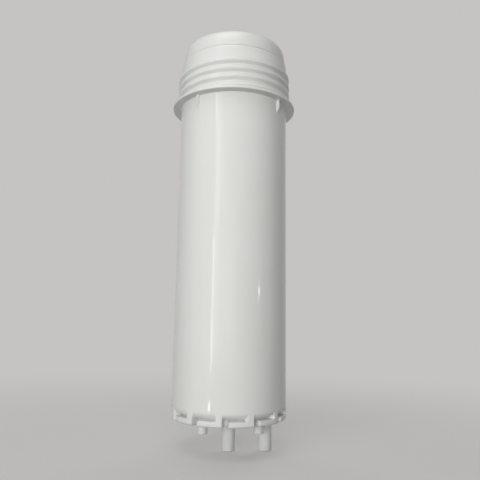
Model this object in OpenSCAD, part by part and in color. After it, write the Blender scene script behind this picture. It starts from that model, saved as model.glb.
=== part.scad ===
// Membrane cartridge of a domestic water purifier: a moulded pressure housing with a
// threaded mouth, a lug ring and two pipe stems, and the wound membrane element inside.
// Origin on the axis, level with the tips of the two stems; +Z points out of the mouth.

/* [Membrane element] */
// Length of the product tube, end to end
element_length = 298; // [260:1:320]
// Diameter over the wrapped roll and the end cap flanges
element_d = 75; // [66:0.5:80]
// Outside diameter of the product tube
tube_d = 17; // [15:0.5:20]
// Inside diameter of the product tube
tube_bore_d = 10; // [8:0.5:11]
// Thickness of the closed upper end of the tube
tube_end = 4; // [2:0.5:8]
// Bare tube below the lower end cap
lower_stub = 22; // [20:0.5:26]
// Bare tube above the upper end cap
upper_stub = 22; // [14:0.5:26]
// Diameter of the drain holes through the tube
drain_hole_d = 2; // [1:0.5:3]
// Number of drain holes in one row along the tube
drain_holes = 12; // [6:1:14]
// Bare tube between the ends of the roll and the first and last drain hole
drain_margin = 14; // [8:1:30]
// Distance between the turns that show on the ends of the roll
leaf_pitch = 3.5; // [3:0.5:6]
// Thickness of the tape wrapped round the roll
wrap_t = 0.4; // [0.3:0.1:1]
// Lap of the tape over the skirt of each end cap
wrap_lap = 5; // [3:0.5:7]

/* [End caps] */
// Height of the lower end cap
lower_cap_h = 10; // [8:0.5:14]
// Height of the upper end cap, which holds the brine seal
upper_cap_h = 12; // [11:0.5:16]
// Radial width of the caps' outer ring
cap_ring_w = 6; // [5:0.5:9]
// Wall of the hub round the tube
hub_wall = 3; // [2:0.5:5]
// Number of spokes between hub and ring
spokes = 6; // [4:1:8]
// Thickness of a spoke
spoke_t = 2.5; // [1.5:0.5:4]
// How far the spokes stand back from the outer face
spoke_setback = 1.5; // [0.5:0.5:3]

/* [Seals] */
// Height of the brine seal's foot in its groove
brine_foot_h = 3.8; // [3:0.2:4.4]
// Depth of the brine seal groove
brine_groove_depth = 2.9; // [2:0.1:3.5]
// Height of the brine seal's lip above its foot
brine_lip_h = 1.8; // [1:0.1:3]
// Thickness of the lip at its tip
brine_lip_t = 0.8; // [0.6:0.1:1.2]
// Section diameter of the tube's sealing rings, as squeezed
ring_section = 2; // [1.8:0.1:2.4]
// Height of the lower ring above the tube's end
ring_offset = 4.5; // [3:0.5:6]
// Distance between the two rings
ring_spacing = 5; // [4:0.5:7]

/* [Barrel] */
// Space between the element and the bore, on each side
brine_gap = 1.5; // [1:0.1:3]
// Thickness of the barrel wall
barrel_wall = 6; // [4:0.5:8]
// How far the barrel widens from the foot of the fins up to the collar
barrel_flare = 0.3; // [0.1:0.1:0.8]
// Thickness of the closed end
base_t = 8; // [7:0.5:12]
// Solid floor left below the tube's socket
socket_floor = 6.5; // [4:0.5:7]
// Wall of the socket that takes the tube
socket_wall = 5; // [3:0.5:8]
// Rounding between the bore and the closed end
bore_fillet = 6; // [3:0.5:8]

/* [Mouth] */
// Distance from the collar's underside to the rim
neck_length = 53.5; // [50:0.5:60]
// Thickness of the neck wall below the thread crests
neck_wall = 6.3; // [5:0.1:8]
// Height of the plain band's upper edge above the collar's underside
neck_band_top = 39.2; // [37:0.2:42]
// Step from the neck in to the nose
nose_step = 1.5; // [1:0.1:2]
// Height of the straight part of the nose
nose_straight = 6; // [3:0.5:8]
// Width of the flat rim
rim_w = 1.7; // [1.2:0.1:2.5]

/* [Collar] */
// How far the collar stands out from the barrel
collar_out = 7; // [6:0.5:10]
// Thickness of the collar
collar_t = 2.3; // [2:0.1:4]
// Number of gusset fins under the collar
fins = 4; // [2:1:8]
// Height of a fin
fin_h = 9.5; // [5:0.5:14]
// Thickness of a fin
fin_t = 1.8; // [1.2:0.1:3]

/* [Thread] */
// Axial distance from one ridge to the next
thread_pitch = 6.9; // [6.6:0.1:7.2]
// Height of the ridges
thread_depth = 2.5; // [1.5:0.1:3]
// Width of a ridge at its crest
crest_w = 3.4; // [2.5:0.1:3.8]
// Width of a ridge at its root
root_w = 4.9; // [4.2:0.1:5.4]
// Height of the middle of the first ridge above the collar's underside
thread_start = 4.9; // [4.8:0.1:5.4]
// Turns of the ridge at its full height
full_turns = 3.25; // [2.5:0.05:3.4]
// Turns over which the upper end of the ridge fades out
fade_turns = 0.65; // [0.2:0.05:0.8]
// Height of the faded ridge where it stops, as a share of its full height
fade_floor = 0.25; // [0.2:0.05:0.5]

/* [Lug ring] */
// Number of lugs round the closed end
lugs = 12; // [8:1:14]
// Part of each lug's share of the ring that is open
lug_gap_share = 0.17; // [0.1:0.01:0.3]
// Width of the upright rib of a lug
rib_w = 5; // [3:0.5:7]
// Height of the foot bar of a lug
bar_h = 3.5; // [2.5:0.1:4.5]
// Height of the lug ring, from its foot to the straight barrel
ring_h = 9.5; // [8:0.5:13]
// Depth of the recess behind the lugs
recess_depth = 4; // [3:0.5:5]
// Rounding of the ring's lower outer edge
foot_round = 1.8; // [1:0.1:2.4]
// Rounding of the lugs' corners
lug_round = 1.2; // [0.6:0.1:1.6]

/* [Stems and pegs] */
// Length of the two pipe stems below the lug ring
stem_length = 25; // [15:0.5:35]
// Outside diameter of the stems
stem_d = 10.4; // [8:0.1:13]
// Bore of the stems
stem_bore_d = 6; // [4:0.1:6.5]
// Distance of the side stem from the axis
side_stem_x = 28.8; // [26:0.1:29.5]
// Rounding of the stems' tips
stem_round = 1; // [0.5:0.1:1.5]
// Number of locating pegs
pegs = 4; // [2:1:6]
// Diameter of a peg
peg_d = 7.5; // [5:0.1:9]
// Length of a peg
peg_length = 8; // [4:0.5:12]
// Radius of the circle that the pegs stand on
peg_circle_r = 29.5; // [26:0.1:32]

/* [Fits] */
// Clearance between parts that are pushed or glued together
snug = 0.1; // [0.05:0.05:0.2]
// Clearance between the tube and its socket
socket_clearance = 0.2; // [0.1:0.05:0.3]
// Clearance between the lower end cap and the top of the socket
socket_gap = 0.3; // [0.2:0.1:1]

/* [Hidden] */
$fn = 96;

// Enough to run a cut or a root past the face it meets
over = 1;

// Radii of the housing
bore_r = element_d / 2 + brine_gap;
barrel_r = bore_r + barrel_wall;
neck_r = bore_r + neck_wall;
nose_r = neck_r - nose_step;
rim_r = bore_r + rim_w;
rim_chamfer = 0.5;
collar_r = barrel_r + collar_out;
collar_round = 0.6;
neck_chamfer = 0.4;
recess_r = barrel_r - recess_depth;

// Levels of the housing, from the stem tips up
ring_z = stem_length;
floor_z = ring_z + base_t;
socket_z = ring_z + socket_floor;
rim_z = socket_z + element_length;
collar_z = rim_z - neck_length;
band_z = collar_z + neck_band_top;
nose_z = band_z + nose_straight;

// Levels of the element
lower_cap_z = socket_z + lower_stub;
roll_z = lower_cap_z + lower_cap_h;
upper_cap_z = rim_z - upper_stub - upper_cap_h;
roll_h = upper_cap_z - roll_z;
socket_top_z = lower_cap_z - socket_gap;

// Radii of the element
tube_r = tube_d / 2;
socket_r = tube_r + socket_clearance;
roll_r = element_d / 2 - wrap_t - snug;
hub_in_r = tube_r + snug;
hub_r = hub_in_r + hub_wall;
cap_ring_in_r = element_d / 2 - cap_ring_w;

// Spiral groove between the leaves, on both ends of the roll
leaf_groove_w = 0.5;
leaf_groove_depth = 0.8;
leaf_step = 15;
leaf_start_r = hub_r + 1;
leaf_end = floor((roll_r - 1 - leaf_start_r) / leaf_pitch * 360 / leaf_step) * leaf_step;

// Brine seal groove of the upper end cap, measured from the cap's lower face
brine_groove_h = brine_foot_h + 2 * snug;
upper_lip_h = 1;
brine_groove_z = upper_cap_h - upper_lip_h - brine_groove_h;
brine_seat_r = element_d / 2 - brine_groove_depth;

// Rings of the tube's lower end and their grooves
ring_groove_w = ring_section + 0.6;
ring_centre_r = socket_r - snug / 2 - ring_section / 2;
ring_groove_r = ring_centre_r - ring_section / 2 - snug / 2;

// Lug ring
lug_angle = 360 / lugs;
lug_w = barrel_r * sin(lug_angle * (1 - lug_gap_share) / 2) * 2;
// Height of the centre of the lugs' lower corner arcs, as a share of their radius
foot_arc_share = 0.7;
// The ribs stand midway between the pegs and the side stem
rib_angle = lug_angle / 2;
lug_centre_angle = rib_angle - (asin(lug_w / 2 / barrel_r) - asin(rib_w / 2 / barrel_r));

// Places round the axis of what repeats
quarter_offset = 45;

// Thread: middle of the ridge at the start, and the rings of its mesh
thread_start_angle = -131;
ring_step = 6;
lead_in = 30;
thread_turns = full_turns + fade_turns;
thread_rings = floor(thread_turns * 360 / ring_step);
// The ridge's flanks start a little inside the neck, and its mesh ends deeper still
ridge_foot_r = neck_r - 0.3;
ridge_core_r = neck_r - 1.2;

// Points of an arc about centre c, from angle a0 to a1 in n steps
function arc(c, r, a0, a1, n) =
    [for (i = [0:n]) c + r * [cos(a0 + (a1 - a0) * i / n), sin(a0 + (a1 - a0) * i / n)]];

// Outline of the moulding's wall, in radius and height, all round from the axis
housing_outline = concat(
    [[0, ring_z]],
    arc([barrel_r - foot_round, ring_z + foot_round], foot_round, -90, 0, 4),
    [[barrel_r, collar_z - fin_h], [barrel_r + barrel_flare, collar_z]],
    [[collar_r - collar_round, collar_z]],
    arc([collar_r - collar_round, collar_z + collar_round], collar_round, -90, 0, 3),
    arc([collar_r - collar_round, collar_z + collar_t - collar_round], collar_round, 0, 90, 3),
    [[neck_r + neck_chamfer, collar_z + collar_t], [neck_r, collar_z + collar_t + neck_chamfer]],
    [[neck_r, band_z - neck_chamfer], [neck_r - neck_chamfer, band_z], [nose_r, band_z]],
    [for (a = [0:15:90]) [rim_r + (nose_r - rim_r) * cos(a), nose_z + (rim_z - nose_z) * sin(a)]],
    [[bore_r + rim_chamfer, rim_z], [bore_r, rim_z - rim_chamfer]],
    arc([bore_r - bore_fillet, floor_z + bore_fillet], bore_fillet, 0, -90, 6),
    [[0, floor_z]]);

// Height of the thread ridge at one ring: it rises over the lead-in, fades and then stops
function ridge_rise(a) =
    let (left = thread_rings * ring_step - a)
    left < ring_step / 2 ? 0 : min(1, a / lead_in, max(fade_floor, left / (fade_turns * 360)));

// Section of the ridge at angle a from its start: six points, from below to above
function ridge_section(a) =
    let (turn = thread_start_angle + a,
         z = collar_z + thread_start + thread_pitch * a / 360,
         crest_r = ridge_foot_r + (neck_r + thread_depth - ridge_foot_r) * ridge_rise(a),
         points = [[ridge_core_r, -root_w / 2], [ridge_foot_r, -root_w / 2],
                   [crest_r, -crest_w / 2], [crest_r, crest_w / 2],
                   [ridge_foot_r, root_w / 2], [ridge_core_r, root_w / 2]])
    [for (p = points) [p[0] * cos(turn), p[0] * sin(turn), z + p[1]]];

// External thread: one ridge wound round the neck
module thread_ridge() {
    sides = 6;
    points = [for (i = [0:thread_rings]) each ridge_section(i * ring_step)];
    walls = [for (i = [0:thread_rings - 1], j = [0:sides - 1])
        let (a = i * sides + j, b = i * sides + (j + 1) % sides)
        each [[a, b, a + sides], [b, b + sides, a + sides]]];
    first = [for (j = [0:sides - 1]) sides - 1 - j];
    last = [for (j = [0:sides - 1]) thread_rings * sides + j];
    polyhedron(points, concat([first], walls, [last]), convexity = 10);
}

// Side view of a lug, flat: a foot bar with an upright rib at its right end
module lug_outline() {
    left = -lug_w / 2;
    right = lug_w / 2;
    top = ring_h + over;
    r = lug_round;
    foot = r * foot_arc_share;
    polygon(concat(
        [[left + r, -2 * over], [right - r, -2 * over]],
        arc([right - r, foot], r, 270, 360, 3),
        [[right, top], [right - rib_w, top]],
        [[right - rib_w, bar_h]],
        arc([left + r, bar_h - r], r, 90, 180, 3),
        arc([left + r, foot], r, 180, 270, 3)));
}

// What stays of the ring at one lug, standing outwards on the -Y side
module lug() {
    translate([0, 0, ring_z])
        rotate([90, 0, 0])
            translate([0, 0, recess_r * cos(lug_angle / 2) - over])
                linear_extrude(barrel_r)
                    lug_outline();
}

// Recess round the foot of the barrel, under a round shoulder, less the lugs that stand in it
module lug_recess() {
    difference() {
        rotate_extrude()
            polygon(concat(
                [[recess_r, ring_z - over], [barrel_r + over, ring_z - over]],
                [[barrel_r + over, ring_z + ring_h]],
                arc([recess_r, ring_z + ring_h], recess_depth, 0, -90, 6)));
        for (i = [0:lugs - 1])
            rotate([0, 0, i * lug_angle + lug_centre_angle + 90])
                lug();
    }
}

// Round post that hangs down from the closed end, with a rounded tip at tip_z
module post(r, tip_z, tip_round) {
    rotate_extrude()
        polygon(concat(
            [[0, tip_z]],
            arc([r - tip_round, tip_z + tip_round], tip_round, -90, 0, 4),
            [[r, ring_z + over], [0, ring_z + over]]));
}

module gusset_fin() {
    translate([0, fin_t / 2, 0])
        rotate([90, 0, 0])
            linear_extrude(fin_t)
                polygon([[barrel_r - over, collar_z + over], [collar_r - over, collar_z + over],
                         [collar_r - over, collar_z], [barrel_r, collar_z - fin_h],
                         [barrel_r - over, collar_z - fin_h]]);
}

// The moulded housing, one piece
module housing_body() {
    color("whitesmoke")
        difference() {
            union() {
                rotate_extrude()
                    polygon(housing_outline);
                thread_ridge();
                for (i = [0:fins - 1])
                    rotate([0, 0, i * 360 / fins + quarter_offset])
                        gusset_fin();
                post(stem_d / 2, 0, stem_round);
                translate([side_stem_x, 0, 0])
                    post(stem_d / 2, 0, stem_round);
                for (i = [0:pegs - 1])
                    rotate([0, 0, i * 360 / pegs + quarter_offset])
                        translate([peg_circle_r, 0, 0])
                            post(peg_d / 2, ring_z - peg_length, stem_round / 2);
                translate([0, 0, floor_z - over])
                    cylinder(r = socket_r + socket_wall, h = socket_top_z - floor_z + over);
            }
            translate([0, 0, socket_z])
                cylinder(r = socket_r, h = element_length);
            translate([0, 0, -over])
                cylinder(d = stem_bore_d, h = socket_z + 2 * over);
            translate([side_stem_x, 0, -over])
                cylinder(d = stem_bore_d, h = floor_z + 2 * over);
            lug_recess();
        }
}

// Product tube: open below, closed above, drilled along the roll, grooved for two rings
module permeate_tube() {
    drain_pitch = (roll_h - 2 * drain_margin) / (drain_holes - 1);
    color("ghostwhite")
        difference() {
            translate([0, 0, socket_z])
                cylinder(r = tube_r, h = element_length);
            translate([0, 0, socket_z - over])
                cylinder(d = tube_bore_d, h = element_length - tube_end + over);
            for (i = [0:1])
                translate([0, 0, ring_z_at(i) - ring_groove_w / 2])
                    difference() {
                        cylinder(r = tube_r + over, h = ring_groove_w);
                        translate([0, 0, -over])
                            cylinder(r = ring_groove_r, h = ring_groove_w + 2 * over);
                    }
            for (i = [0:drain_holes - 1])
                translate([0, 0, roll_z + drain_margin + i * drain_pitch])
                    rotate([90, 0, 90 * (i % 2)])
                        cylinder(d = drain_hole_d, h = tube_d + 2 * over, center = true);
        }
}

// Height of ring i of the tube
function ring_z_at(i) = socket_z + ring_offset + i * ring_spacing;

// Point of the spiral between the leaves at angle a, moved out by side
function leaf_point(a, side) = (leaf_start_r + leaf_pitch * a / 360 + side) * [cos(a), sin(a)];

module leaf_groove() {
    linear_extrude(2 * leaf_groove_depth, center = true)
        polygon(concat(
            [for (a = [0:leaf_step:leaf_end]) leaf_point(a, 0)],
            [for (a = [leaf_end:-leaf_step:0]) leaf_point(a, leaf_groove_w)]));
}

// Membrane, spacer and carrier sheets, wound together round the tube
module membrane_roll() {
    color("gainsboro")
        translate([0, 0, roll_z])
            difference() {
                cylinder(r = roll_r, h = roll_h);
                translate([0, 0, -over])
                    cylinder(r = tube_r + snug, h = roll_h + 2 * over);
                leaf_groove();
                translate([0, 0, roll_h])
                    leaf_groove();
            }
}

// Tape that binds the roll to the skirts of both end caps
module outer_wrap() {
    color("lightblue")
        translate([0, 0, roll_z - wrap_lap])
            difference() {
                cylinder(d = element_d, h = roll_h + 2 * wrap_lap);
                translate([0, 0, -over])
                    cylinder(r = roll_r + snug, h = roll_h + 2 * wrap_lap + 2 * over);
            }
}

// Hub and spokes of an end cap, which stand on the plane z = 0 and point up
module hub_and_spokes(height) {
    difference() {
        union() {
            cylinder(r = hub_r, h = height);
            for (i = [0:spokes - 1])
                rotate([0, 0, i * 360 / spokes])
                    translate([tube_r + hub_wall / 2, -spoke_t / 2, 0])
                        cube([cap_ring_in_r + over - tube_r - hub_wall / 2, spoke_t,
                              height - spoke_setback]);
        }
        translate([0, 0, -over])
            cylinder(r = hub_in_r, h = height + 2 * over);
    }
}

// Outer ring of an end cap from a list of radius and height points of its outside
module cap_ring(height, outside) {
    rotate_extrude()
        polygon(concat([[cap_ring_in_r, height], [cap_ring_in_r, 0]], outside));
}

module lower_end_cap() {
    outside = [[roll_r, 0], [roll_r, wrap_lap], [element_d / 2, wrap_lap],
               [element_d / 2, lower_cap_h - 0.6], [element_d / 2 - 0.6, lower_cap_h]];
    color("white")
        translate([0, 0, roll_z])
            mirror([0, 0, 1]) {
                hub_and_spokes(lower_cap_h);
                cap_ring(lower_cap_h, outside);
            }
}

module upper_end_cap() {
    groove_top = brine_groove_z + brine_groove_h;
    outside = [[roll_r, 0], [roll_r, wrap_lap], [element_d / 2, wrap_lap],
               [element_d / 2, brine_groove_z], [brine_seat_r, brine_groove_z],
               [brine_seat_r, groove_top], [roll_r, groove_top], [roll_r, upper_cap_h]];
    color("white")
        translate([0, 0, upper_cap_z]) {
            hub_and_spokes(upper_cap_h);
            cap_ring(upper_cap_h, outside);
        }
}

// Rubber lip seal in the groove of the upper end cap; its lip leans out to the bore
module brine_seal() {
    foot_r = brine_seat_r + snug;
    foot_z = upper_cap_z + brine_groove_z + snug;
    heel_r = element_d / 2 + 0.3;
    tip_r = bore_r - snug / 2;
    tip_z = foot_z + brine_foot_h + brine_lip_h;
    color("dimgray")
        rotate_extrude()
            polygon([[foot_r, foot_z], [heel_r - 0.5, foot_z], [heel_r, foot_z + 0.5],
                     [tip_r, tip_z - brine_lip_t], [tip_r, tip_z - 0.2],
                     [tip_r - brine_lip_t, tip_z],
                     [roll_r + snug, foot_z + brine_foot_h], [foot_r, foot_z + brine_foot_h]]);
}

// Sealing ring i of the tube, squeezed between its groove and the socket
module tube_ring(i) {
    color("dimgray")
        translate([0, 0, ring_z_at(i)])
            rotate_extrude()
                translate([ring_centre_r, 0])
                    circle(d = ring_section, $fn = 24);
}

module lower_o_ring() {
    tube_ring(0);
}

module upper_o_ring() {
    tube_ring(1);
}

housing_body();
permeate_tube();
membrane_roll();
outer_wrap();
lower_end_cap();
upper_end_cap();
brine_seal();
lower_o_ring();
upper_o_ring();
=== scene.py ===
"""Membrane cartridge of a domestic water purifier: a white moulded pressure housing with a
threaded mouth, a collar, a lug ring and two pipe stems, and a wound membrane element inside.
The frame has its origin on the axis, level with the stems' tips, and +Z out of the mouth."""

import bmesh
import bpy
import numpy as np
from mathutils import Matrix, Vector
from mathutils.geometry import tessellate_polygon


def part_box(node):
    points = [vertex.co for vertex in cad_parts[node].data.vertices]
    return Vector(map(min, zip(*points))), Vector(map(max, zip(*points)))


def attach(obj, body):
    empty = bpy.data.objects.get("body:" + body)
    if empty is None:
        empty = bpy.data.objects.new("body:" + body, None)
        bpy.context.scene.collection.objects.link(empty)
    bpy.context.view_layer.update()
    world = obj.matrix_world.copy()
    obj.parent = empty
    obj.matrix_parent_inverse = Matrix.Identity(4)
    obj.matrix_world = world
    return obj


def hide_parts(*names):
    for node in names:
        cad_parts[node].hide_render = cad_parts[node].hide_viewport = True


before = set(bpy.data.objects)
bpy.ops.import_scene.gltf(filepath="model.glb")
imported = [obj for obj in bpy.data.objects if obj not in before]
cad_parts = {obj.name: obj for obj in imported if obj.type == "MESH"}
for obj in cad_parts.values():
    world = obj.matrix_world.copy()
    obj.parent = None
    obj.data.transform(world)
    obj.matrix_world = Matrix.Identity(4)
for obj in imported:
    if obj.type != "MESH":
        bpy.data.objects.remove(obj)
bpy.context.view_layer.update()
scene = bpy.context.scene
scene.view_settings.view_transform = "Standard"
MM = 0.001


# Camera. It stands in front of the cartridge, a little above the foot, and looks up at the
# collar, so that the collar's underside shows. The place is a fit to the photograph.
camera_data = bpy.data.cameras.new("camera")
camera_data.sensor_width = 36.0
camera_data.lens = 38.3
camera_data.shift_x = 0.0021
camera_data.shift_y = -0.0265
camera = bpy.data.objects.new("camera", camera_data)
scene.collection.objects.link(camera)
camera_turn = np.radians(-5.3)
camera_pitch = np.radians(90 + 9.76)
camera_roll = np.radians(0.85)
camera_place = Vector((6.0, -420.3, 103.6)) * MM
spin = Matrix.Rotation(camera_turn, 4, "Z")
tilt = Matrix.Rotation(camera_pitch, 4, "X") @ Matrix.Rotation(camera_roll, 4, "Z")
camera.matrix_world = spin @ Matrix.Translation(camera_place) @ tilt
scene.camera = camera


# Foot of the housing: a ring of twelve lugs round the closed end, each an L of a foot bar
# and an upright rib, moulded in one with the barrel and standing out of a recess whose top
# is a round shoulder. White polypropylene, like all of the housing.
housing_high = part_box("housing_body")[1]
rim_z = housing_high.z / MM
collar_r = housing_high.x / MM
barrel_r = collar_r - 7.0
foot_z = 25.0
foot_round = 1.8
recess_r = barrel_r - 8.0
recess_edge = 0.4
shoulder_z = foot_z + 10.0
shoulder_h = 5.5
bar_top = foot_z + 4.5
rib_w = 5.0
lugs = 12
lug_turn = 1.7
lug_gap_share = 0.17
lug_corner = 1.2
lug_inner_corner = 1.6
lug_draft = 0.35
lug_columns = 50
lug_edge_zone = 0.8
lug_edge_share = 4.0
lug_w = 2 * barrel_r * np.sin(np.radians(180 / lugs * (1 - lug_gap_share)))
lug_centre = (180 / lugs + lug_turn
              - np.degrees(np.arcsin(lug_w / 2 / barrel_r) - np.arcsin(rib_w / 2 / barrel_r)))
seam_angle = -131.0
moulding = []


def smooth(t):
    """Smoothstep: 0 below 0, 1 above 1, and t * t * (3 - 2 t) between them."""
    t = np.clip(t, 0.0, 1.0)
    return t * t * (3 - 2 * t)


def arc(centre, radius, start, end, steps):
    """Points (r, z) at equal angles, in degrees, on the arc of a circle about a centre."""
    a = np.radians(np.linspace(start, end, steps + 1))
    return np.stack([centre[0] + radius * np.cos(a), centre[1] + radius * np.sin(a)], 1)


def crowded(start, span, count, crowds, width, weight):
    """Angles from start over span whose density is 1 + weight * exp(-(distance / width)^2) for
    each crowd: the density is summed up and turned round by interpolation."""
    fine = np.linspace(0.0, span, 4001)
    away = (start + fine[:, None] - np.asarray(crowds)[None, :] + 180) % 360 - 180
    density = 1 + weight * np.exp(-(away / width) ** 2).sum(1)
    total = np.concatenate([[0.0], np.cumsum((density[1:] + density[:-1]) / 2)])
    return start + np.interp(np.arange(count) / count * total[-1], total, fine)


def wall(angles, profile, centre=(0.0, 0.0)):
    """Closed wall round a vertical axis through centre: row i, column j is the point at angle j
    whose distance from the axis and height are profile[i, j]. Each cell is one quad."""
    turn = np.radians(angles)
    profile = np.broadcast_to(profile, (profile.shape[0], len(turn), 2))
    points = np.stack([centre[0] + profile[..., 0] * np.cos(turn),
                       centre[1] + profile[..., 0] * np.sin(turn), profile[..., 1]], -1)
    rows, columns = profile.shape[:2]
    low = np.arange(rows - 1)[:, None] * columns
    here = np.arange(columns)[None, :]
    beside = (here + 1) % columns
    faces = np.stack(np.broadcast_arrays(low + here, low + beside, low + columns + beside,
                                         low + columns + here), -1)
    return points.reshape(-1, 3), faces.reshape(-1, 4)


def bridge(angles_a, ring_a, angles_b, ring_b):
    """Triangles between two rings with their own angles: both rings are walked at once, and
    each step along one ring makes a triangle with the last point passed on the other."""
    turn_a, turn_b = [np.append(a[1:], a[0] + 360) for a in (angles_a, angles_b)]
    count_a, count_b = len(angles_a), len(angles_b)
    i, j = np.arange(count_a), np.arange(count_b)
    passed_b = np.searchsorted(turn_b, turn_a, "left") % count_b
    passed_a = np.searchsorted(turn_a, turn_b, "right") % count_a
    steps_a = np.stack([i, (i + 1) % count_a, count_a + passed_b], 1)
    steps_b = np.stack([count_a + j, passed_a, count_a + (j + 1) % count_b], 1)
    points = []
    for angles, ring in ((angles_a, ring_a), (angles_b, ring_b)):
        turn = np.radians(angles)
        points.append(np.stack([ring[0] * np.cos(turn), ring[0] * np.sin(turn),
                                np.full(len(turn), ring[1])], 1))
    return np.concatenate(points), np.concatenate([steps_a, steps_b])


def rounded_box(x, z, left, right, low, high, corner):
    """Signed distance to a rectangle with round corners: the distance to the rectangle shrunk
    by the corner radius, less that radius, and below zero inside."""
    dx = np.abs(x - (left + right) / 2) - (right - left) / 2 + corner
    dz = np.abs(z - (low + high) / 2) - (high - low) / 2 + corner
    outside = np.hypot(np.maximum(dx, 0), np.maximum(dz, 0))
    return outside + np.minimum(np.maximum(dx, dz), 0) - corner


def lug_share(angles, z):
    """How much of a point belongs to a lug, from 0 in the recess to 1 on the lug: a smoothstep
    of the signed distance to the L, which is a bar and a rib joined by a round inner corner."""
    step = 360 / lugs
    away = (angles - lug_centre + step / 2) % step - step / 2
    x = barrel_r * np.sin(np.radians(away))[None, :]
    z = z[:, None]
    right = lug_w / 2
    low = foot_z - 0.3 * lug_corner
    high = shoulder_z + 20  # well above the ring
    bar = rounded_box(x, z, -right, right, low, bar_top, lug_corner)
    rib = rounded_box(x, z, right - rib_w, right, low, high, lug_corner)
    near = np.maximum(lug_inner_corner - np.abs(bar - rib), 0) / lug_inner_corner
    joined = np.minimum(bar, rib) - near ** 2 * lug_inner_corner / 4
    inside = np.maximum(joined, rounded_box(x, z, -right, right, low, high, lug_corner))
    return smooth(0.5 - inside / (2 * lug_draft))


def lug_ring(top_z):
    """Wall of the foot: each point is mixed from the outline of the recess and the outline of
    the full barrel by the share of the lug there."""
    lug_edges = [lug_centre + 360 / lugs * k + np.degrees(np.arcsin(x / barrel_r))
                 for k in range(lugs) for x in (-lug_w / 2, lug_w / 2 - rib_w, lug_w / 2)]
    angles = crowded(seam_angle, 360.0, lug_columns * lugs, lug_edges, lug_edge_zone,
                     lug_edge_share)
    levels = np.concatenate([[foot_z + 2.5], np.linspace(bar_top - 0.4, bar_top + 0.4, 9),
                             shoulder_z - shoulder_h * np.cos(np.radians(np.arange(30, 91, 5)))])
    depth = np.clip((shoulder_z - levels) / shoulder_h, 0, 1)
    shoulder_r = recess_r + (barrel_r - recess_r) * np.sqrt(1 - depth ** 2)
    tail = np.array([[barrel_r, top_z]])
    recess = np.concatenate([
        [[recess_r - recess_edge - 0.3, foot_z]],
        arc((recess_r - recess_edge, foot_z + recess_edge), recess_edge, -90, 0, 7),
        np.stack([shoulder_r, levels], 1), tail])
    full = np.concatenate([
        [[barrel_r - foot_round - 0.3, foot_z]],
        arc((barrel_r - foot_round, foot_z + foot_round), foot_round, -90, 0, 7),
        np.stack([np.full_like(levels, barrel_r), levels], 1), tail])
    share = lug_share(angles, full[:, 1])[..., None]
    profile = recess[:, None, :] * (1 - share) + full[:, None, :] * share
    return angles, profile


lug_top = shoulder_z + 1.0
lug_angles, lug_profile = lug_ring(lug_top)
foot_wall = wall(lug_angles, lug_profile)
moulding.append(foot_wall)


# Barrel: a plain tube, 90 mm across, in one with the lug ring below and the collar above.
# It widens a little beside the fins, as the mould's draft.
columns = 240
wall_angles = seam_angle + np.arange(columns) * 360 / columns
barrel_low = lug_top + 0.6
collar_z = rim_z - 53.5
fin_foot_z = collar_z - 10.2
barrel_high = fin_foot_z - 2.0
barrel_levels = np.linspace(barrel_low, barrel_high, 24)
barrel_profile = np.stack([np.full_like(barrel_levels, barrel_r), barrel_levels], 1)
moulding.append(bridge(lug_angles, (barrel_r, lug_top), wall_angles, (barrel_r, barrel_low)))
moulding.append(wall(wall_angles, barrel_profile[:, None, :]))


# Collar: a thin flange that stops the screw cap, with four gusset fins moulded under it.
# A fin stands out less than the collar; its edge is upright above and slopes in below.
collar_t = 2.3
collar_round = 0.6
barrel_flare = 0.3
fins = 4
fin_turn = 46.9
fin_t = 1.8
fin_draft = 0.22
fin_out = 2.4
fin_slope_h = 3.8
fin_columns = 320
fin_edge_zone = 1.9
fin_edge_share = 5.0
collar_fillet = 0.3
root_fillet = 0.7
neck_r = barrel_r + 0.3


def fin_zone():
    """Wall beside the fins and the collar's underside: each point is mixed from the plain
    outline and the outline along a fin's sloping edge by the share of the fin there."""
    step = 360 / fins
    angles = crowded(seam_angle, 360.0, fin_columns, fin_turn + step * np.arange(fins),
                     fin_edge_zone, fin_edge_share)
    levels = np.linspace(fin_foot_z - 1.0, collar_z - collar_fillet, 18)
    rise = np.clip((levels - fin_foot_z) / (collar_z - fin_foot_z), 0, 1)
    flare_r = barrel_r + barrel_flare * rise
    root_r = flare_r[-1] + collar_fillet
    root = arc((root_r, collar_z - collar_fillet), collar_fillet, 180, 90, 4)[1:]
    under_r = np.linspace(root_r, collar_r - collar_round - 0.4, 6)[1:]
    under = np.stack([under_r, np.full_like(under_r, collar_z)], 1)
    start = [[barrel_r, fin_foot_z - 1.6]]
    plain = np.concatenate([start, np.stack([flare_r, levels], 1), root, under])
    proud = plain.copy()
    out = fin_out * np.clip((proud[:, 1] - fin_foot_z) / fin_slope_h, 0, 1)
    proud[:, 0] = np.maximum(proud[:, 0], barrel_r + out)
    away = (angles - fin_turn + step / 2) % step - step / 2
    side = np.abs(barrel_r * np.radians(away))
    share = smooth(0.5 + (fin_t / 2 - side) / (2 * fin_draft))[None, :, None]
    return angles, plain[:, None, :] * (1 - share) + proud[:, None, :] * share


fin_angles, fin_profile = fin_zone()
moulding.append(wall(fin_angles, fin_profile))
moulding.append(bridge(wall_angles, (barrel_r, barrel_high),
                       fin_angles, (barrel_r, fin_profile[0, 0, 1])))
collar_profile = np.concatenate([
    arc((collar_r - collar_round, collar_z + collar_round), collar_round, -90, 0, 5),
    arc((collar_r - collar_round, collar_z + collar_t - collar_round), collar_round, 0, 90, 5),
    [[neck_r + 3.0, collar_z + collar_t]],
    arc((neck_r + root_fillet, collar_z + collar_t + root_fillet), root_fillet, 270, 180, 5)])
moulding.append(bridge(fin_angles, (fin_profile[-1, 0, 0], collar_z),
                       wall_angles, (collar_r - collar_round, collar_z)))
moulding.append(wall(wall_angles, collar_profile[:, None, :]))


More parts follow.
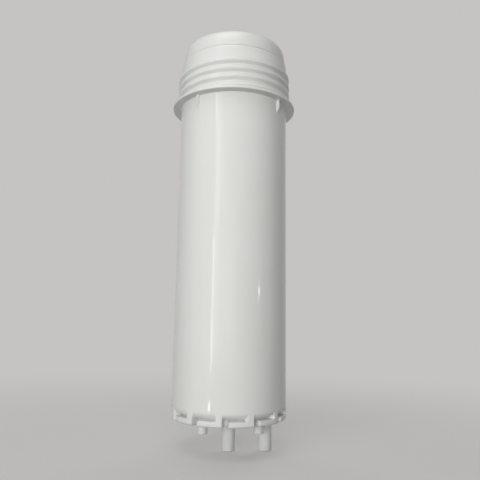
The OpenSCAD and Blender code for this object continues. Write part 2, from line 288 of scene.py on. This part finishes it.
# Thread of the mouth: one rounded ridge wound three and a quarter turns round the neck,
# moulded in one with it. It rises over a twelfth of a turn and fades out at its upper end.
thread_pitch = 6.9
thread_depth = 2.5
ridge_half_w = 2.05
flank_half_w = 1.05
thread_start_z = collar_z + 4.9
lead_in = 30.0
full_turns = 3.25
fade_turns = 0.65
neck_low = collar_z + collar_t + root_fillet
neck_high = rim_z - 17.0
neck_end_h = 0.5
rows_per_turn = 24
turn_numbers = np.arange(-2, 6)


def threaded_neck():
    """Wall whose rows follow the thread: row s of turn t stands at start + pitch * (t + angle /
    360) + s, so that after a whole turn it meets the same row of the next turn. The ridge's
    height is a smoothstep over each flank, times its rise along the thread."""
    flank = 360 * ridge_half_w / thread_pitch
    across = crowded(-180, 360, rows_per_turn, [-flank, flank], 36, 2.0)
    s = across / 360 * thread_pitch
    round_share = np.linspace(0, 1, columns + 1)[None, :]
    turns = np.repeat(turn_numbers, rows_per_turn)[:, None] + round_share
    s = np.tile(s, len(turn_numbers))[:, None]
    z = np.clip(thread_start_z + thread_pitch * turns + s, neck_low, neck_high)
    along = 360 * turns
    left = 360 * (full_turns + fade_turns) - along
    rise = np.minimum(smooth(along / lead_in), smooth(left / (360 * fade_turns)))
    ridge = smooth((ridge_half_w + flank_half_w - np.abs(s)) / (2 * flank_half_w))
    ends = smooth((z - neck_low) / neck_end_h) * smooth((neck_high - z) / neck_end_h)
    r = neck_r + thread_depth * rise * ridge * ends
    turn = np.radians(seam_angle + along)
    points = np.stack([r * np.cos(turn), r * np.sin(turn), z], -1)
    rows = len(z)
    corner = np.arange(rows - 1)[:, None] * (columns + 1) + np.arange(columns)[None, :]
    faces = np.stack([corner, corner + 1, corner + columns + 2, corner + columns + 1], -1)
    return points.reshape(-1, 3), faces.reshape(-1, 4)


moulding.append(threaded_neck())


# Nose and bore: above the thread the neck steps in, past a fine groove, to a smooth nose that
# carries the cap's seal, curves over to a narrow rim and turns down into the bore.
bore_r = barrel_r - 6.0
nose_r = neck_r - 1.5
nose_line_z = collar_z + 39.2
nose_curve_z = nose_line_z + 6.0
rim_r = bore_r + 1.7
rim_edge = 0.5
floor_z = foot_z + 8.0
bore_fillet = 6.0
step_round = 0.5
groove_depth = 0.7
groove_h = 1.3
nose_turn = np.radians(np.linspace(0, 90, 17))
bore_levels = np.linspace(rim_z - rim_edge, floor_z + bore_fillet, 20)[1:-1]
mouth_profile = np.concatenate([
    [[neck_r, neck_high]],
    arc((neck_r - step_round, nose_line_z - step_round), step_round, 0, 90, 4),
    arc((nose_r - groove_depth + step_round, nose_line_z + step_round), step_round, 270, 180, 4),
    arc((nose_r - groove_depth + step_round, nose_line_z + groove_h - step_round), step_round,
        180, 90, 4),
    arc((nose_r - step_round / 2, nose_line_z + groove_h + step_round / 2), step_round / 2,
        -90, 0, 3),
    np.stack([rim_r + (nose_r - rim_r) * np.cos(nose_turn),
              nose_curve_z + (rim_z - nose_curve_z) * np.sin(nose_turn)], 1),
    arc((bore_r + rim_edge, rim_z - rim_edge), rim_edge, 90, 180, 5),
    np.stack([np.full_like(bore_levels, bore_r), bore_levels], 1),
    arc((bore_r - bore_fillet, floor_z + bore_fillet), bore_fillet, 0, -90, 10),
    [[bore_r - bore_fillet - 0.5, floor_z]]])
mouth_wall = wall(wall_angles, mouth_profile[:, None, :])
moulding.append(mouth_wall)


# Closed end: inside, a socket for the element's tube; outside, two pipe stems, one on the
# axis and one beside it, and four pegs that place the cartridge on its water board.
socket_r = 8.7
socket_wall = 5.0
socket_z = foot_z + 6.5
socket_top_z = foot_z + 28.2
stem_r = 5.2
stem_bore_r = 3.0
stem_round = 1.0
side_stem_x = 28.8
peg_r = 3.75
peg_tip_z = foot_z - 8.0
peg_circle_r = 29.5
edge = 0.3
stem_angles = np.arange(72) * 5.0
peg_angles = np.arange(60) * 6.0
plane_margin = 0.4
stem_outside = np.concatenate([
    arc((stem_bore_r + edge, edge), edge, 180, 270, 3),
    arc((stem_r - stem_round, stem_round), stem_round, -90, 0, 7),
    arc((stem_r + root_fillet, foot_z - root_fillet), root_fillet, 180, 90, 5),
    [[stem_r + root_fillet + plane_margin, foot_z]]])
socket_inside = np.concatenate([
    [[socket_r + socket_wall + root_fillet + plane_margin, floor_z]],
    arc((socket_r + socket_wall + root_fillet, floor_z + root_fillet), root_fillet, 270, 180, 5),
    arc((socket_r + socket_wall - edge, socket_top_z - edge), edge, 0, 90, 3),
    arc((socket_r + edge, socket_top_z - edge), edge, 90, 180, 3),
    arc((socket_r - edge, socket_z + edge), edge, 0, -90, 3),
    arc((stem_bore_r + edge, socket_z - edge), edge, 90, 180, 3)])
port_inside = np.concatenate([
    [[stem_bore_r + edge + plane_margin, floor_z]],
    arc((stem_bore_r + edge, floor_z - edge), edge, 90, 180, 3)])
peg_outside = np.concatenate([
    [[0.0, peg_tip_z], [peg_r - 2 * stem_round, peg_tip_z]],
    arc((peg_r - stem_round / 2, peg_tip_z + stem_round / 2), stem_round / 2, -90, 0, 5),
    arc((peg_r + root_fillet, foot_z - root_fillet), root_fillet, 180, 90, 5),
    [[peg_r + root_fillet + plane_margin, foot_z]]])
peg_turns = np.radians(45 + 90 * np.arange(4))
peg_places = peg_circle_r * np.stack([np.cos(peg_turns), np.sin(peg_turns)], 1)
centre_stem = wall(stem_angles, np.concatenate([socket_inside, stem_outside])[:, None, :])
side_stem = wall(stem_angles, np.concatenate([port_inside, stem_outside])[:, None, :],
                 (side_stem_x, 0.0))
pegs = [wall(peg_angles, peg_outside[:, None, :], place) for place in peg_places]
moulding += [centre_stem, side_stem] + pegs


def plane_between(rings):
    """Flat face between an outer ring and the rings inside it, as triangles of their points."""
    loops = [[Vector(p) for p in ring.tolist()] for ring in rings]
    return np.concatenate(rings), np.array(tessellate_polygon(loops))


def first_ring(part, angles):
    """Points of a wall's first row."""
    return part[0][:len(angles)]


def last_ring(part, angles):
    """Points of a wall's last row."""
    return part[0][-len(angles):]


outside_rings = [first_ring(foot_wall, lug_angles), last_ring(centre_stem, stem_angles),
                 last_ring(side_stem, stem_angles)]
outside_rings += [last_ring(peg, peg_angles) for peg in pegs]
moulding.append(plane_between(outside_rings))
inside_rings = [last_ring(mouth_wall, wall_angles), first_ring(centre_stem, stem_angles),
                first_ring(side_stem, stem_angles)]
moulding.append(plane_between(inside_rings))


def solid_mesh(name, parts, sharp_angle):
    """Joins parts of points in millimetres and faces into one mesh, merges the points that
    meet, points the faces outwards and marks edges above an angle as sharp."""
    mesh = bpy.data.meshes.new(name)
    starts = np.cumsum([0] + [len(points) for points, faces in parts])
    faces = sum([(faces + start).tolist() for (points, faces), start in zip(parts, starts)], [])
    mesh.from_pydata((np.concatenate([points for points, faces in parts]) * MM).tolist(), [], faces)
    built = bmesh.new()
    built.from_mesh(mesh)
    bmesh.ops.remove_doubles(built, verts=built.verts, dist=0.002 * MM)
    bmesh.ops.recalc_face_normals(built, faces=built.faces)
    built.to_mesh(mesh)
    built.free()
    mesh.shade_smooth()
    mesh.set_sharp_from_angle(angle=np.radians(sharp_angle))
    return mesh


housing = bpy.data.objects.new("housing_moulding", solid_mesh("housing_moulding", moulding, 40))
scene.collection.objects.link(housing)
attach(housing, "root")
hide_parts("housing_body")


def moulded_plastic(name, colour, roughness, patch_size, wave, grain):
    """Moulded plastic: slow patches of tone, slightly uneven gloss, long shallow waves left by
    the shrinking of the wall, and a fine grain in the surface."""
    material = bpy.data.materials.new(name)
    material.use_nodes = True
    nodes, links = material.node_tree.nodes, material.node_tree.links
    shader = nodes["Principled BSDF"]
    place = nodes.new("ShaderNodeTexCoord")
    patches = nodes.new("ShaderNodeTexNoise")
    patches.inputs["Scale"].default_value = 1 / (patch_size * MM)
    patches.inputs["Detail"].default_value = 3.0
    links.new(place.outputs["Object"], patches.inputs["Vector"])
    tone = nodes.new("ShaderNodeValToRGB")
    tone.color_ramp.elements[0].position = 0.3
    tone.color_ramp.elements[1].position = 0.7
    tone.color_ramp.elements[0].color = [c * 0.975 for c in colour[:2]] + [colour[2] * 0.96, 1]
    tone.color_ramp.elements[1].color = list(colour) + [1]
    links.new(patches.outputs["Fac"], tone.inputs["Fac"])
    links.new(tone.outputs["Color"], shader.inputs["Base Color"])
    gloss = nodes.new("ShaderNodeMapRange")
    gloss.inputs["To Min"].default_value = roughness * 0.85
    gloss.inputs["To Max"].default_value = roughness * 1.2
    links.new(patches.outputs["Fac"], gloss.inputs["Value"])
    links.new(gloss.outputs["Result"], shader.inputs["Roughness"])
    waves = nodes.new("ShaderNodeTexNoise")
    waves.inputs["Scale"].default_value = 1 / (wave * MM)
    waves.inputs["Detail"].default_value = 1.0
    links.new(place.outputs["Object"], waves.inputs["Vector"])
    fine = nodes.new("ShaderNodeTexNoise")
    fine.inputs["Scale"].default_value = 1 / (grain * MM)
    fine.inputs["Detail"].default_value = 2.0
    links.new(place.outputs["Object"], fine.inputs["Vector"])
    wave_bump = nodes.new("ShaderNodeBump")
    wave_bump.inputs["Distance"].default_value = 0.06 * MM
    wave_bump.inputs["Strength"].default_value = 0.6
    links.new(waves.outputs["Fac"], wave_bump.inputs["Height"])
    grain_bump = nodes.new("ShaderNodeBump")
    grain_bump.inputs["Distance"].default_value = 0.004 * MM
    grain_bump.inputs["Strength"].default_value = 0.5
    links.new(fine.outputs["Fac"], grain_bump.inputs["Height"])
    links.new(wave_bump.outputs["Normal"], grain_bump.inputs["Normal"])
    links.new(grain_bump.outputs["Normal"], shader.inputs["Normal"])
    return material


housing_white = moulded_plastic("housing_white", (0.80, 0.80, 0.78), 0.1, 45, 14, 0.5)
housing.data.materials.append(housing_white)


# Membrane element: a product tube with the sheets wound round it, bound with tape between
# two spoked end caps, with a rubber lip seal above and two rubber rings below.
tube_white = moulded_plastic("tube_white", (0.76, 0.75, 0.71), 0.38, 30, 10, 0.4)
cap_white = moulded_plastic("cap_white", (0.74, 0.74, 0.73), 0.42, 20, 8, 0.4)
tape_white = moulded_plastic("tape_white", (0.72, 0.76, 0.80), 0.3, 25, 5, 0.6)


def wound_sheets(name, pale, dark, turn_pitch):
    """Edges of sheets wound round an axis: rings of pale membrane and of darker spacer mesh,
    uneven in width as a hand-trimmed roll is, with a fibrous, matt surface."""
    material = bpy.data.materials.new(name)
    material.use_nodes = True
    nodes, links = material.node_tree.nodes, material.node_tree.links
    shader = nodes["Principled BSDF"]
    shader.inputs["Roughness"].default_value = 0.8
    place = nodes.new("ShaderNodeTexCoord")
    rings = nodes.new("ShaderNodeTexWave")
    rings.wave_type = "RINGS"
    rings.rings_direction = "Z"
    rings.inputs["Scale"].default_value = np.pi / (10 * turn_pitch * MM)
    rings.inputs["Distortion"].default_value = 1.5
    rings.inputs["Detail"].default_value = 2.0
    rings.inputs["Detail Scale"].default_value = 1 / 3
    links.new(place.outputs["Object"], rings.inputs["Vector"])
    sheets = nodes.new("ShaderNodeValToRGB")
    sheets.color_ramp.elements[0].position = 0.25
    sheets.color_ramp.elements[1].position = 0.6
    sheets.color_ramp.elements[0].color = (*dark, 1)
    sheets.color_ramp.elements[1].color = (*pale, 1)
    links.new(rings.outputs["Fac"], sheets.inputs["Fac"])
    links.new(sheets.outputs["Color"], shader.inputs["Base Color"])
    fibres = nodes.new("ShaderNodeTexNoise")
    fibres.inputs["Scale"].default_value = 1 / (0.6 * MM)
    fibres.inputs["Detail"].default_value = 4.0
    links.new(place.outputs["Object"], fibres.inputs["Vector"])
    fibre_bump = nodes.new("ShaderNodeBump")
    fibre_bump.inputs["Distance"].default_value = 0.1 * MM
    links.new(fibres.outputs["Fac"], fibre_bump.inputs["Height"])
    ring_bump = nodes.new("ShaderNodeBump")
    ring_bump.inputs["Distance"].default_value = 0.3 * MM
    links.new(rings.outputs["Fac"], ring_bump.inputs["Height"])
    links.new(fibre_bump.outputs["Normal"], ring_bump.inputs["Normal"])
    links.new(ring_bump.outputs["Normal"], shader.inputs["Normal"])
    return material


sheet_ends = wound_sheets("sheet_ends", (0.74, 0.73, 0.68), (0.36, 0.36, 0.33), 1.3)


def rubber(name, colour):
    """Moulded rubber: almost black, matt, with paler worn patches and a fine grain."""
    material = bpy.data.materials.new(name)
    material.use_nodes = True
    nodes, links = material.node_tree.nodes, material.node_tree.links
    shader = nodes["Principled BSDF"]
    place = nodes.new("ShaderNodeTexCoord")
    bloom = nodes.new("ShaderNodeTexNoise")
    bloom.inputs["Scale"].default_value = 1 / (9 * MM)
    bloom.inputs["Detail"].default_value = 5.0
    links.new(place.outputs["Object"], bloom.inputs["Vector"])
    tone = nodes.new("ShaderNodeValToRGB")
    tone.color_ramp.elements[0].position = 0.45
    tone.color_ramp.elements[1].position = 0.8
    tone.color_ramp.elements[0].color = (*colour, 1)
    tone.color_ramp.elements[1].color = [c * 2.2 for c in colour] + [1]
    links.new(bloom.outputs["Fac"], tone.inputs["Fac"])
    links.new(tone.outputs["Color"], shader.inputs["Base Color"])
    dullness = nodes.new("ShaderNodeMapRange")
    dullness.inputs["To Min"].default_value = 0.45
    dullness.inputs["To Max"].default_value = 0.75
    links.new(bloom.outputs["Fac"], dullness.inputs["Value"])
    links.new(dullness.outputs["Result"], shader.inputs["Roughness"])
    grain = nodes.new("ShaderNodeTexNoise")
    grain.inputs["Scale"].default_value = 1 / (0.3 * MM)
    links.new(place.outputs["Object"], grain.inputs["Vector"])
    bump = nodes.new("ShaderNodeBump")
    bump.inputs["Distance"].default_value = 0.02 * MM
    links.new(grain.outputs["Fac"], bump.inputs["Height"])
    links.new(bump.outputs["Normal"], shader.inputs["Normal"])
    return material


rubber_black = rubber("rubber_black", (0.025, 0.025, 0.027))
for node, finish in (("permeate_tube", tube_white), ("lower_end_cap", cap_white),
                     ("upper_end_cap", cap_white), ("outer_wrap", tape_white),
                     ("membrane_roll", sheet_ends), ("brine_seal", rubber_black),
                     ("lower_o_ring", rubber_black), ("upper_o_ring", rubber_black)):
    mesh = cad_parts[node].data
    mesh.materials.clear()
    mesh.materials.append(finish)


# Floor and lamps: a pale floor that melts into a pale background, broad soft lamps in front,
# above and behind, and narrow lamps that show only as the bright lines in the glossy wall.
backdrop = (0.56, 0.55, 0.535)
world = bpy.data.worlds.new("studio")
scene.world = world
world.use_nodes = True
world_nodes, world_links = world.node_tree.nodes, world.node_tree.links
world_nodes.clear()
shown = world_nodes.new("ShaderNodeBackground")
shown.inputs["Color"].default_value = (*backdrop, 1)
fill = world_nodes.new("ShaderNodeBackground")
fill.inputs["Color"].default_value = (0.97, 0.98, 1.0, 1)
fill.inputs["Strength"].default_value = 0.12
path = world_nodes.new("ShaderNodeLightPath")
seen = world_nodes.new("ShaderNodeMath")
seen.operation = "MAXIMUM"
seen_too = world_nodes.new("ShaderNodeMath")
seen_too.operation = "MAXIMUM"
world_links.new(path.outputs["Is Camera Ray"], seen.inputs[0])
world_links.new(path.outputs["Is Glossy Ray"], seen.inputs[1])
world_links.new(seen.outputs[0], seen_too.inputs[0])
world_links.new(path.outputs["Is Transmission Ray"], seen_too.inputs[1])
choose = world_nodes.new("ShaderNodeMixShader")
world_links.new(seen_too.outputs[0], choose.inputs["Fac"])
world_links.new(fill.outputs[0], choose.inputs[1])
world_links.new(shown.outputs[0], choose.inputs[2])
world_out = world_nodes.new("ShaderNodeOutputWorld")
world_links.new(choose.outputs[0], world_out.inputs["Surface"])

floor_size = 6.0
floor_mesh = bpy.data.meshes.new("floor")
floor_mesh.from_pydata([(-floor_size, -floor_size, 0), (floor_size, -floor_size, 0),
                        (floor_size, floor_size, 0), (-floor_size, floor_size, 0)],
                       [], [(0, 1, 2, 3)])
floor = bpy.data.objects.new("floor", floor_mesh)
scene.collection.objects.link(floor)
floor_material = bpy.data.materials.new("floor")
floor_material.use_nodes = True
floor_nodes, floor_links = floor_material.node_tree.nodes, floor_material.node_tree.links
floor_nodes.clear()
floor_place = floor_nodes.new("ShaderNodeTexCoord")
floor_reach = floor_nodes.new("ShaderNodeVectorMath")
floor_reach.operation = "LENGTH"
floor_links.new(floor_place.outputs["Object"], floor_reach.inputs[0])
floor_far = floor_nodes.new("ShaderNodeMapRange")
floor_far.interpolation_type = "SMOOTHSTEP"
floor_far.inputs["From Min"].default_value = 0.1
floor_far.inputs["From Max"].default_value = 0.7
floor_far.inputs["To Min"].default_value = 0.4
floor_links.new(floor_reach.outputs["Value"], floor_far.inputs["Value"])
floor_near = floor_nodes.new("ShaderNodeBsdfDiffuse")
floor_tone = floor_nodes.new("ShaderNodeMixRGB")
floor_tone.inputs["Color1"].default_value = (0.76, 0.75, 0.73, 1)
floor_tone.inputs["Color2"].default_value = (0.24, 0.24, 0.23, 1)
floor_links.new(floor_tone.outputs["Color"], floor_near.inputs["Color"])
floor_glow = floor_nodes.new("ShaderNodeEmission")
floor_glow.inputs["Color"].default_value = (*backdrop, 1)
floor_path = floor_nodes.new("ShaderNodeLightPath")
floor_lit = floor_nodes.new("ShaderNodeMath")
floor_lit.operation = "MULTIPLY"
floor_indirect = floor_nodes.new("ShaderNodeMath")
floor_indirect.operation = "SUBTRACT"
floor_indirect.inputs[0].default_value = 1.0
floor_links.new(floor_path.outputs["Is Diffuse Ray"], floor_indirect.inputs[1])
floor_links.new(floor_path.outputs["Is Diffuse Ray"], floor_tone.inputs["Fac"])
floor_links.new(floor_far.outputs["Result"], floor_lit.inputs[0])
floor_links.new(floor_indirect.outputs[0], floor_lit.inputs[1])
floor_mix = floor_nodes.new("ShaderNodeMixShader")
floor_links.new(floor_lit.outputs[0], floor_mix.inputs["Fac"])
floor_links.new(floor_near.outputs[0], floor_mix.inputs[1])
floor_links.new(floor_glow.outputs[0], floor_mix.inputs[2])
floor_below = floor_nodes.new("ShaderNodeBsdfTransparent")
floor_side = floor_nodes.new("ShaderNodeNewGeometry")
floor_clear = floor_nodes.new("ShaderNodeMixShader")
floor_links.new(floor_side.outputs["Backfacing"], floor_clear.inputs["Fac"])
floor_links.new(floor_mix.outputs[0], floor_clear.inputs[1])
floor_links.new(floor_below.outputs[0], floor_clear.inputs[2])
floor_out = floor_nodes.new("ShaderNodeOutputMaterial")
floor_links.new(floor_clear.outputs[0], floor_out.inputs["Surface"])
floor_mesh.materials.append(floor_material)


def lamp(name, azimuth, distance, height, size, power, aim_z):
    """Rectangular lamp at an azimuth about the axis, turned towards a point of the axis. It
    lights the part, but is seen neither by the camera nor as a reflection."""
    data = bpy.data.lights.new(name, "AREA")
    data.shape = "RECTANGLE"
    data.size, data.size_y = size
    data.energy = power
    turn = np.radians(azimuth)
    place = Vector((distance * np.cos(turn), distance * np.sin(turn), height))
    look = (Vector((0, 0, aim_z)) - place).to_track_quat("-Z", "Y").to_matrix().to_4x4()
    thing = bpy.data.objects.new(name, data)
    scene.collection.objects.link(thing)
    thing.matrix_world = Matrix.Translation(place) @ look
    thing.visible_camera = False
    thing.visible_glossy = False
    return thing


def streak(name, azimuth, distance, height, size, radiance):
    """Upright lamp that shows only as a reflection. Its power is radiance * pi * area."""
    thing = lamp(name, azimuth, distance, height, size, radiance * np.pi * size[0] * size[1], height)
    thing.visible_glossy = True
    thing.visible_diffuse = False
    return thing


lamp("front_lamp", -104, 1.2, 0.18, (0.6, 0.36), 6.6, 0.16)
lamp("left_lamp", -138, 1.2, 0.2, (0.6, 0.4), 2.5, 0.16)
lamp("top_lamp", -110, 0.72, 1.17, (0.85, 0.85), 4.2, 0.16).visible_glossy = True
lamp("right_back_lamp", 57, 1.3, 0.35, (0.9, 0.6), 8.5, 0.16)
lamp("left_back_lamp", 110, 1.3, 0.35, (0.9, 0.6), 6.0, 0.16)
streak("high_strip", -129.5, 0.9, 0.66, (0.02, 0.13), 10.0)
streak("low_strip", -129.0, 0.5, 0.125, (0.012, 0.21), 9.0)
streak("window", -124.5, 0.9, 0.38, (0.17, 0.76), 1.2)
streak("wide_window", -117, 0.9, 0.45, (0.40, 0.22), 0.5)
streak("low_glint", -128.8, 0.223, 0.009, (0.017, 0.007), 11.0)
streak("right_glint", -37.2, 0.938, 0.162, (0.033, 0.012), 42.0)
